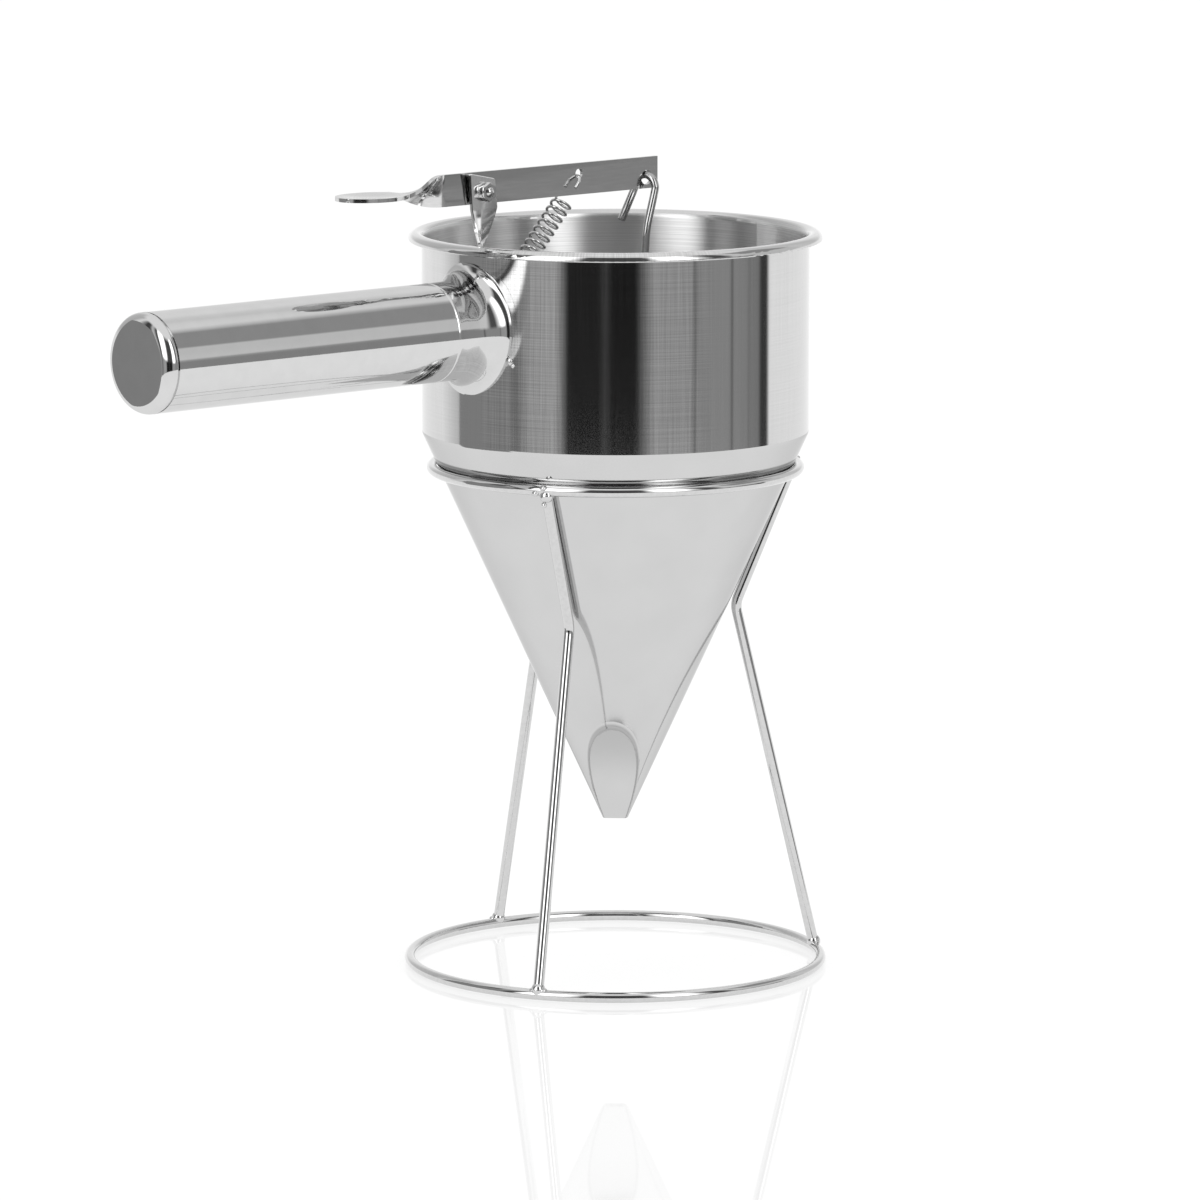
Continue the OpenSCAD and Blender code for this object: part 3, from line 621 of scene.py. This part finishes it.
def add_collar():
    """Neck with a groove at the tube, and a flange that follows the bowl's round wall."""
    reach = COLLAR_X - BOWL_R
    inner = TUBE_R - 0.2
    collar = ring_start("collar", 128, inner, (-COLLAR_X, 0, HANDLE_Z), upright=True)
    # Distance from the wall, and share of the flare; the first rings leave a groove at the tube
    profile = [(16.35, -0.04), (16.2, 0.0), (15.9, 0.015), (15.3, 0.0), (13, 0.0), (11, 0.0)]
    flare_start, flare_end, arc, steps = 9.5, 0.7, math.radians(84), 20
    for step in range(1, steps + 1):
        angle = arc * step / steps
        away = flare_start - (flare_start - flare_end) * math.sin(angle) / math.sin(arc)
        profile.append((away, (1 - math.cos(angle)) / (1 - math.cos(arc))))
    profile += [(0.5, 1.01), (0.2, 1.01), (-1, 1.01), (-4.5, 1.01)]
    last_w = last_h = inner
    last_x = COLLAR_X
    for away, flare in profile:
        x = BOWL_R + away
        half_w = TUBE_R + (COLLAR_HALF_W - TUBE_R) * flare
        half_h = TUBE_R + (COLLAR_HALF_H - TUBE_R) * flare
        draw_out(last_x - x, 0, 0)
        resize(1, half_w / last_w, half_h / last_h, (-x, 0, HANDLE_Z))
        last_w, last_h, last_x = half_w, half_h, x
    leave_edit()
    close_up(collar)
    # Each ring is pushed in beside the handle, more so near the wall
    share = collar.vertex_groups.new(name="to the wall")
    deepest = 4.0
    for point in collar.data.vertices:
        x, y, _ = point.co / MM
        near = min(1, (COLLAR_X + x) / reach) ** 2
        depth = BOWL_R - math.sqrt(BOWL_R ** 2 - y ** 2)
        share.add([point.index], near * depth / deepest, "REPLACE")
    push = collar.modifiers.new("push", "DISPLACE")
    push.direction = "X"
    push.mid_level = 0
    push.strength = deepest * MM
    push.vertex_group = share.name
    bpy.ops.object.modifier_apply(modifier=push.name)
    wall = collar.modifiers.new("wall", "SOLIDIFY")
    wall.thickness = 0.6 * MM
    wall.offset = -1
    bpy.ops.object.modifier_apply(modifier=wall.name)
    cut(collar, rod_tool(BOWL_R, 80, (0, 0, HANDLE_Z), "Z", 256))
    smooth(collar, 40)
    hand_over(collar, handle_steel, "funnel", "handle", "handle_collar")


def add_weld(name, body, slot, *beads):
    """Beads of weld metal, each a squashed ball with an uneven skin: its place, width and height."""
    deselect()
    lumps = []
    for number, (x, y, z, width, height) in enumerate(beads):
        bpy.ops.mesh.primitive_ico_sphere_add(subdivisions=4, radius=0.5 * MM, location=metres(x, y, z))
        lump = bpy.context.object
        lump.scale = (width, width, height)
        bpy.ops.object.transform_apply()
        edit()
        bpy.ops.mesh.select_all(action="SELECT")
        bpy.ops.transform.vertex_random(offset=0.09 * MM, uniform=0.0, normal=1.0, seed=number)
        bpy.ops.mesh.vertices_smooth(factor=0.5, repeat=2)
        leave_edit()
        lumps.append(lump)
    for lump in lumps:
        lump.select_set(True)
    bpy.ops.object.join()
    weld = bpy.context.object
    weld.name = name
    smooth(weld, 80)
    hand_over(weld, weld_steel, body, slot)


def add_welds():
    """Welds of the legs on the two rings, and one at the collar's edge."""
    def place(degrees, reach, height, width, tall):
        angle = math.radians(degrees)
        return reach * math.cos(angle), reach * math.sin(angle), height, width, tall

    for name, at in (("front", 207), ("right", 332), ("rear", 84)):
        add_weld(
            name + "_top_weld", "stand", "wire",
            place(at - 3.2, 59.2, 159.3, 2.6, 1.9), place(at - 0.6, 59.3, 161.0, 2.6, 1.8),
            place(at - 0.4, 59.0, 158.2, 3.0, 2.4), place(at - 0.7, 58.5, 155.6, 1.9, 1.8))
        add_weld(
            name + "_foot_weld", "stand", "wire",
            place(at + 1.5, 66.2, 3.2, 2.8, 1.8), place(at - 1.4, 66.2, 3.1, 2.4, 1.7))
    add_weld(
        "collar_weld", "funnel", "handle",
        (-58.9, -17.3, 200.3, 1.9, 2.6), (-58.5, -18.1, 199.0, 1.3, 1.5))


def add_end_cap():
    """Flat-faced cap with a round shoulder and a fine groove where it meets the tube."""
    shoulder, groove, skirt, skirt_r = 4.6, 0.7, 0.8, TUBE_R - 0.4
    cap = ring_start("end_cap", 128, skirt_r, (-CAP_X + skirt, 0, HANDLE_Z), upright=True)
    profile = [(CAP_X + 0.5, skirt_r), (CAP_X + 0.52, TUBE_R - 0.15), (CAP_X + groove, TUBE_R)]
    inner = TUBE_R - shoulder
    shoulder_steps, face_steps = 14, 9
    for step in range(1, shoulder_steps + 1):
        angle = math.radians(90) * step / shoulder_steps
        x = CAP_X + groove + (shoulder - groove) * math.sin(angle)
        profile.append((x, inner + shoulder * math.cos(angle)))
    face_x = CAP_X + shoulder
    for step in range(1, face_steps):
        share = 1 - step / face_steps
        profile.append((face_x + (CAP_END - face_x) * (1 - share ** 2), inner * share))
    last_x, last_r = CAP_X - skirt, skirt_r
    for x, radius in profile:
        draw_out(last_x - x, 0, 0)
        resize(1, radius / last_r, radius / last_r, (-x, 0, HANDLE_Z))
        last_x, last_r = x, radius
    bpy.ops.mesh.merge(type="CENTER")
    leave_edit()
    select_points(cap, lambda x, y, z: x > -CAP_X + skirt - 0.1)
    bpy.ops.mesh.edge_face_add()
    leave_edit()
    close_up(cap)
    smooth(cap, 50)
    hand_over(cap, handle_steel, "funnel", "handle", "handle_end_cap")


# Lever, bracket and nut
NOSE_X = 17.3
LEVER_W = 10.0
LEVER_T = 1.2
TWIST_START = 71.0
TWIST_LENGTH = 18.0
PAD_MIDDLE = 100.5
PAD_HALF_L = 12.0
PAD_HALF_W = 9.5
PAD_HOLLOW = 0.45
BRACKET_W = 10.5
BRACKET_T = 1.25
NUT_W = 5.5
NUT_H = 2.4
SCREW_R = 1.45
SMALL_HOLE_R = 1.5
ROD_HOLE = (12.6, LEVER_Z - 1.5)
ROD_HOLE_R = 2.3


def add_lever():
    """Upright strip with three holes, a quarter twist, and a flat thumb pad."""
    lever = strip_section("lever_strip", (NOSE_X, 0, LEVER_Z), LEVER_W - 0.01, LEVER_T, "X")
    draw_out(-(TWIST_START + NOSE_X), 0, 0)
    steps = 30
    x = -TWIST_START
    for step in range(steps):
        x -= TWIST_LENGTH / steps
        draw_out(-TWIST_LENGTH / steps, 0, 0)
        # The twist starts and ends softly
        before, after = (0.5 - 0.5 * math.cos(math.pi * part / steps) for part in (step, step + 1))
        turn(45 * (1 / steps + after - before), "X", (x, 0, LEVER_Z))
    # The pad widens out of the strip and closes as an ellipse
    half = LEVER_W / 2
    first, last = math.radians(16), math.radians(176)
    for step in range(1, steps + 1):
        angle = min(first + (math.pi - first) * step / steps, last)
        target = -PAD_MIDDLE + PAD_HALF_L * math.cos(angle)
        oval = PAD_HALF_W * math.sin(angle)
        if angle < math.pi / 2:
            oval = ((LEVER_W / 2) ** 6 + oval ** 6) ** (1 / 6)
        if target > x:
            continue
        draw_out(target - x, 0, 0)
        resize(1, oval / half, 1, (target, 0, LEVER_Z))
        x, half = target, oval
    leave_edit()
    close_up(lever)
    # The pad is pressed a little hollow
    select_points(lever, lambda x, y, z: math.hypot(x + PAD_MIDDLE, y) < 2.2)
    bpy.ops.transform.translate(
        value=metres(0, 0, -PAD_HOLLOW), orient_type="GLOBAL", use_proportional_edit=True,
        proportional_size=9 * MM, proportional_edit_falloff="SMOOTH")
    leave_edit()
    screw_hole = rod_tool(SCREW_R + 0.1, 12, (PIVOT[0], 0, PIVOT[1]), "Y", 32)
    spring_hole = rod_tool(SMALL_HOLE_R, 12, (-15.8, 0, LEVER_Z + 1.7), "Y", 48)
    rod_hole = rod_tool(ROD_HOLE_R, 12, (ROD_HOLE[0], 0, ROD_HOLE[1]), "Y")
    cut(lever, screw_hole, spring_hole, rod_hole)
    break_edges(lever, 0.12)
    smooth(lever)
    hand_over(lever, strip_steel, "lever", "lever", "lever")


def add_bracket():
    """Ear with a slanted top, a leaning quarter twist, and a strip to the wall that ends in a tab."""
    ear_top, ear_base = 257.956, 246.806
    slant, lean = 2.2, 0.8
    x, y = PIVOT[0] - lean, -2.125
    top_middle = ear_top - slant / 2
    tilt = math.degrees(math.atan2(slant, BRACKET_W))
    bracket = strip_section("bracket_strip", (x, y, top_middle), BRACKET_W, BRACKET_T, "Z")
    turn(tilt, "Y", (x, y, top_middle))
    draw_out(lean, 0, ear_base - ear_top + slant / 2)
    x += lean
    turn(-tilt, "Y", (x, y, ear_base))
    # Twist, which leans from the wall and towards the lever
    foot_x, foot_y, foot_z = -56.1, 0.575, 222.806
    steps = 32
    step_x, step_y, step_z = (foot_x - x) / steps, (foot_y - y) / steps, (foot_z - ear_base) / steps
    z = ear_base
    for _ in range(steps):
        draw_out(step_x, step_y, step_z)
        x, y, z = x + step_x, y + step_y, z + step_z
        turn(90 / steps, "Z", (x, y, z))
    # Down, out to the wall, down the wall, and in as a tab, with the corners mitred
    wall_x, wall_top, tab_z, tab_edge = -59.744, 218.756, 214.219, -49.712
    out = math.degrees(math.atan2(x - wall_x, foot_z - BRACKET_T - wall_top))
    draw_out(0, 0, -BRACKET_T)
    z -= BRACKET_T
    turn(out / 2, "Y", (x, y, z))
    draw_out(wall_x - x, 0, wall_top - z)
    x, z = wall_x, wall_top
    draw_out(0, 0, tab_z - z)
    z = tab_z
    turn(-out / 2 - 45, "Y", (x, y, z))
    draw_out(tab_edge - x, 0, 0)
    turn(-45, "Y", (tab_edge, y, z))
    leave_edit()
    close_up(bracket)
    cut(bracket, rod_tool(SMALL_HOLE_R, 12, (-53.681, -1, tab_z), "Z", 48))
    # The ear's two corners are round
    corner_r = 0.8
    ear_side = BRACKET_W / 2 - 0.3
    select_points(
        bracket, lambda x, y, z: z > ear_top - slant - 0.2 and abs(x - PIVOT[0] + lean) > ear_side)
    bpy.ops.mesh.select_mode(type="EDGE")
    bpy.ops.mesh.bevel(offset=corner_r * MM, segments=4, affect="EDGES")
    leave_edit()
    break_edges(bracket, 0.2)
    smooth(bracket)
    hand_over(bracket, bracket_steel_painted_bright, "funnel", "lever", "lever_bracket")


def add_nut():
    """Six-sided nut with broken corners."""
    middle = (PIVOT[0], -2.75 - NUT_H / 2, PIVOT[1])
    nut = rod_tool(NUT_W / 2 / math.cos(math.radians(30)), NUT_H, middle, "Y", 6)
    nut.name = "hexagon_nut"
    cut(nut, rod_tool(SCREW_R, 4, middle, "Y", 48))
    break_edges(nut, 0.3)
    smooth(nut)
    hand_over(nut, plated_steel, "funnel", "fastener", "pivot_nut")


# Spring and rod


def spring_line():
    """Points along the spring's wire, from the tab's hook to the lever's hook."""
    lean = math.radians(42.1)
    along = Vector((math.sin(lean), 0, math.cos(lean)))
    over = Vector((-math.cos(lean), 0, math.sin(lean)))
    foot = Vector((-46.9603, 0, 218.729))
    coil_r, bend_r, pitch, turns = 3.05, 1.0, 2.62, 14.25
    lower_reach, upper_reach, tail = 5.0, 6.4, 1.7
    lower = foot - lower_reach * along
    top = foot + turns * pitch * along

    def beside(base, up, side, across):
        return base + up * along + side * over + Vector((0, across, 0))

    hook_steps, bend_steps, turn_steps = 24, 6, 28
    points = [beside(lower, tail - bend_r, coil_r, -bend_r)]
    for step in range(hook_steps + 1):
        angle = math.pi * step / hook_steps
        points.append(beside(lower, -coil_r * math.sin(angle), coil_r * math.cos(angle), -bend_r))
    for step in range(bend_steps):
        angle = math.pi / 2 * step / bend_steps
        points.append(beside(foot, -bend_r * (1 - math.sin(angle)), -coil_r, -bend_r * math.cos(angle)))
    for step in range(int(turns * turn_steps) + 1):
        angle = math.pi + 2 * math.pi * step / turn_steps
        up = pitch * step / turn_steps
        points.append(beside(foot, up, coil_r * math.cos(angle), -coil_r * math.sin(angle)))
    for step in range(1, bend_steps + 1):
        angle = math.pi / 2 * step / bend_steps
        points.append(beside(top, bend_r * (1 - math.cos(angle)), bend_r * math.sin(angle), coil_r))
    for step in range(hook_steps + 1):
        angle = math.pi * step / hook_steps
        up = upper_reach + coil_r * math.sin(angle)
        points.append(beside(top, up, bend_r, coil_r * math.cos(angle)))
    points.append(beside(top, upper_reach - tail, bend_r, -coil_r))
    return points


def add_spring():
    """Spring of one wire, which stretches between the middles of its two hooks."""
    wire_r = 0.45
    points = spring_line()
    spring = wire_along("spring_wire", points, wire_r, 3)
    close_up(spring)
    smooth(spring, 50)
    hand_over(spring, spring_steel, None, "spring", "spring")
    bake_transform(spring)


def rounded(points, radius):
    """A line of points with its corners rounded."""
    steps = 8
    line = [points[0]]
    for before, corner, after in zip(points, points[1:], points[2:]):
        start = corner + (before - corner).normalized() * min(radius, (before - corner).length / 2)
        end = corner + (after - corner).normalized() * min(radius, (after - corner).length / 2)
        for step in range(steps + 1):
            share = step / steps
            line.append(start * (1 - share) ** 2 + corner * 2 * share * (1 - share) + end * share ** 2)
    return line + [points[-1]]


def add_rod():
    """Rod from the plug to the hook that hangs it on the lever."""
    rod_r, hook_r, side = 1.25, 4.19, math.radians(8)
    rise_bend_r, fall_bend_r, hook_start = 3.0, 2.0, 1.2
    middle = Vector((ROD_HOLE[0], 0, 248.166))
    out = hook_r * Vector((math.sin(side), -math.cos(side), 0))
    shoulder = Vector((0, 0, 1.0))
    hook = []
    steps = 24
    for step in range(1, steps):
        angle = math.pi * step / steps
        hook.append(middle + out * math.cos(angle) + Vector((0, 0, hook_r * math.sin(angle))))
    # The hook takes over a little above the two shoulders
    hook = [point for point in hook if point.z > middle.z + hook_start]
    plug_end, kink = Vector((0, 0, 53.9186)), Vector((9.4, out.y, 235.556))
    plug_top = plug_end + Vector((0, 0, 4))
    rise = rounded([plug_end, plug_top, kink, middle + out, middle + out + shoulder], rise_bend_r)
    tail = Vector((6.21686, -out.y, 238.066))
    fall = rounded([middle - out + shoulder, middle - out, tail], fall_bend_r)
    rod = wire_along("rod_wire", rise[:-1] + hook + fall[1:], rod_r, 6)
    close_up(rod)
    break_edges(rod, 0.15)
    smooth(rod, 50)
    hand_over(rod, rod_steel, "rod", "rod", "valve_rod")


# Finishes
wire_steel = steel("bright wire", 0.62, 0.06, depth=0.001, scale=900)
bowl_steel = bowl_finish()
cone_steel = cone_finish()
handle_steel = steel("mirror handle", 0.64, 0.05, depth=0.0005, scale=200, streak=0.02, edge=0.85)
strip_steel = steel("strip", 0.66, 0.12, depth=0.0006, scale=1500, lines=(0.1, 1, 1), edge=0.8)
plated_steel = steel("plated fastener", 0.6, 0.12, depth=0.001, scale=1200)
spring_steel = steel("spring wire", 0.6, 0.1, depth=0.0005, scale=1500)
weld_steel = steel("weld metal", 0.62, 0.14, depth=0.004, scale=1500)
# Painted highlight: the bracket's steel is a much lighter grey than the lever's strip, standing in for the
# brighter shine of its ear
bracket_steel_painted_bright = steel("bracket strip", 0.9, 0.14, depth=0.0006, scale=1500, lines=(1, 1, 0.1), edge=0.8)
rod_steel = steel("rod wire", 0.42, 0.14, depth=0.0003, scale=900)

for node in ("base_ring", "top_ring", "leg_front", "leg_right", "leg_rear"):
    wear_on(node, wire_steel)
wear_on("bowl", bowl_steel)
wear_on("cone", cone_steel)
for node in ("handle_tube", "handle_collar", "handle_end_cap"):
    wear_on(node, handle_steel)
wear_on("lever", strip_steel)
wear_on("lever_bracket", bracket_steel_painted_bright)
for node in ("pivot_screw", "pivot_washer", "pivot_nut", "valve_plug"):
    wear_on(node, plated_steel)
wear_on("spring", spring_steel)
wear_on("valve_rod", rod_steel)

add_camera()
add_cone()
add_collar()
add_welds()
add_end_cap()
add_lever()
add_bracket()
add_nut()
add_spring()
add_rod()
set_world()
add_table()
add_card(
    "side card", centre=(-0.421, 0.259, 0.16), normal=(0.653, -0.741, 0.157),
    width=0.34, height=0.46, grey=0.3)
add_lamps()
